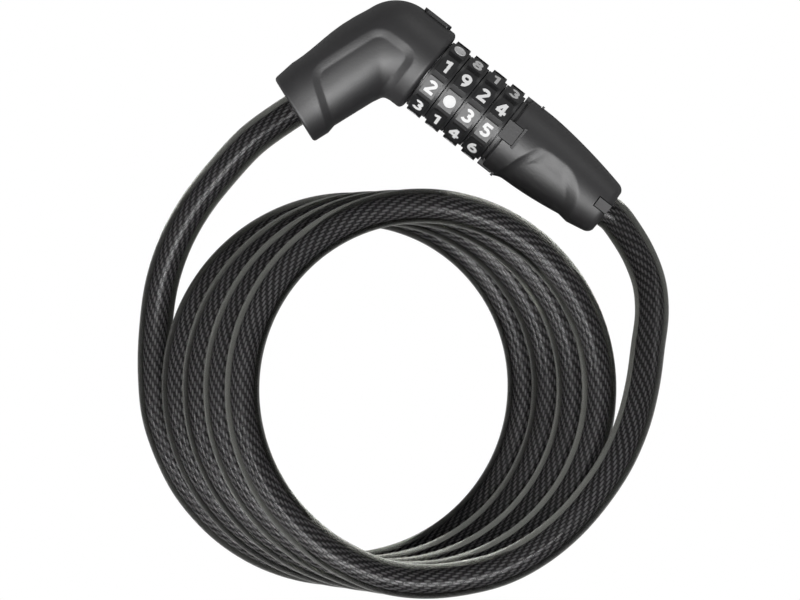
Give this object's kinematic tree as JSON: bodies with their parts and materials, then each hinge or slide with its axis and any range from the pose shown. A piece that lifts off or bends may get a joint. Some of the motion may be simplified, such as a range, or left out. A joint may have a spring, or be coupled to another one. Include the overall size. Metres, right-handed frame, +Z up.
{
  "type": "combination cable lock",
  "caption": "Coiled cable lock with number wheels between an angled lock head and a plug that pulls out when its code is set.",
  "frame": {"origin": "middle of the flat rest land under the elbow's barrel, on the surface that the lock lies on", "axes": "+X along the wheels' axis from the elbow to the plug, +Z up; the cable's coil lies on the -Y side"},
  "size_m": [0.1844, 0.1968, 0.0624],
  "materials": {
    "housing_plastic": "satin black moulded plastic with a fine grain",
    "wheel_plastic": "satin black moulded plastic, white figures",
    "cable_jacket": "smooth tinted clear jacket over a dark woven braid",
    "die_cast_zinc": "plain die casting",
    "steel": "turned steel, bright",
    "spring_steel": "oiled spring steel"
  },
  "bodies": {
    "lock_body": {"elbow_cover_front": "housing_plastic", "elbow_cover_back": "housing_plastic", "elbow_core": "die_cast_zinc", "spindle": "steel", "detent_strip": "spring_steel", "gate_spring": "spring_steel", "end_washer": "steel", "retaining_clip": "spring_steel", "elbow_ferrule": "steel", "elbow_ferrule_pin": "steel", "cable_end_elbow": "cable_jacket", "cable_lead_elbow": "cable_jacket", "cable_coil": "cable_jacket"},
    "wheel_1": {"number_wheel_1": "wheel_plastic"},
    "wheel_2": {"number_wheel_2": "wheel_plastic"},
    "wheel_3": {"number_wheel_3": "wheel_plastic"},
    "wheel_4": {"number_wheel_4": "wheel_plastic"},
    "gate_body_1": {"gate_1": "die_cast_zinc"},
    "gate_body_2": {"gate_2": "die_cast_zinc"},
    "gate_body_3": {"gate_3": "die_cast_zinc"},
    "gate_body_4": {"gate_4": "die_cast_zinc"},
    "change_slide": {"change_slider": "housing_plastic", "shift_ring": "die_cast_zinc"},
    "plug": {"plug_cover": "housing_plastic", "plug_collar": "housing_plastic", "plug_core": "die_cast_zinc", "bolt": "steel", "bolt_pin": "steel", "plug_ferrule": "steel", "plug_ferrule_pin": "steel", "cable_end_plug": "cable_jacket", "cable_clip": "housing_plastic", "cable_lead_plug": "cable_jacket"}
  },
  "joints": [
    {"name": "wheel_1_turn", "type": "hinge", "parent": "lock_body", "child": "wheel_1", "pos_m": [0, 0, 0.0161], "axis": [1, 0, 0], "continuous": true, "deforming": ["detent_strip"]},
    {"name": "wheel_2_turn", "type": "hinge", "parent": "lock_body", "child": "wheel_2", "pos_m": [0, 0, 0.0161], "axis": [1, 0, 0], "continuous": true, "deforming": ["detent_strip"]},
    {"name": "wheel_3_turn", "type": "hinge", "parent": "lock_body", "child": "wheel_3", "pos_m": [0, 0, 0.0161], "axis": [1, 0, 0], "continuous": true, "deforming": ["detent_strip"]},
    {"name": "wheel_4_turn", "type": "hinge", "parent": "lock_body", "child": "wheel_4", "pos_m": [0, 0, 0.0161], "axis": [1, 0, 0], "continuous": true, "deforming": ["detent_strip"]},
    {"name": "change_press", "type": "slide", "parent": "lock_body", "child": "change_slide", "axis": [1, 0, 0], "range_m": [0, 0.0022], "stiffness_N_per_m": 600, "deforming": ["gate_spring"]},
    {"name": "gate_1_shift", "type": "slide", "parent": "wheel_1", "child": "gate_body_1", "axis": [1, 0, 0], "range_m": [0, 0.0022], "deforming": ["gate_spring"]},
    {"name": "gate_2_shift", "type": "slide", "parent": "wheel_2", "child": "gate_body_2", "axis": [1, 0, 0], "range_m": [0, 0.0022], "deforming": ["gate_spring"]},
    {"name": "gate_3_shift", "type": "slide", "parent": "wheel_3", "child": "gate_body_3", "axis": [1, 0, 0], "range_m": [0, 0.0022], "deforming": ["gate_spring"]},
    {"name": "gate_4_shift", "type": "slide", "parent": "wheel_4", "child": "gate_body_4", "axis": [1, 0, 0], "range_m": [0, 0.0022], "deforming": ["gate_spring"]},
    {"name": "plug_pull", "type": "slide", "parent": "lock_body", "child": "plug", "axis": [1, 0, 0], "range_m": [0, 0.048]}
  ],
  "couplings": [
    {"joint": "gate_1_shift", "follows": "change_press", "ratio": 1},
    {"joint": "gate_2_shift", "follows": "change_press", "ratio": 1},
    {"joint": "gate_3_shift", "follows": "change_press", "ratio": 1},
    {"joint": "gate_4_shift", "follows": "change_press", "ratio": 1}
  ]
}
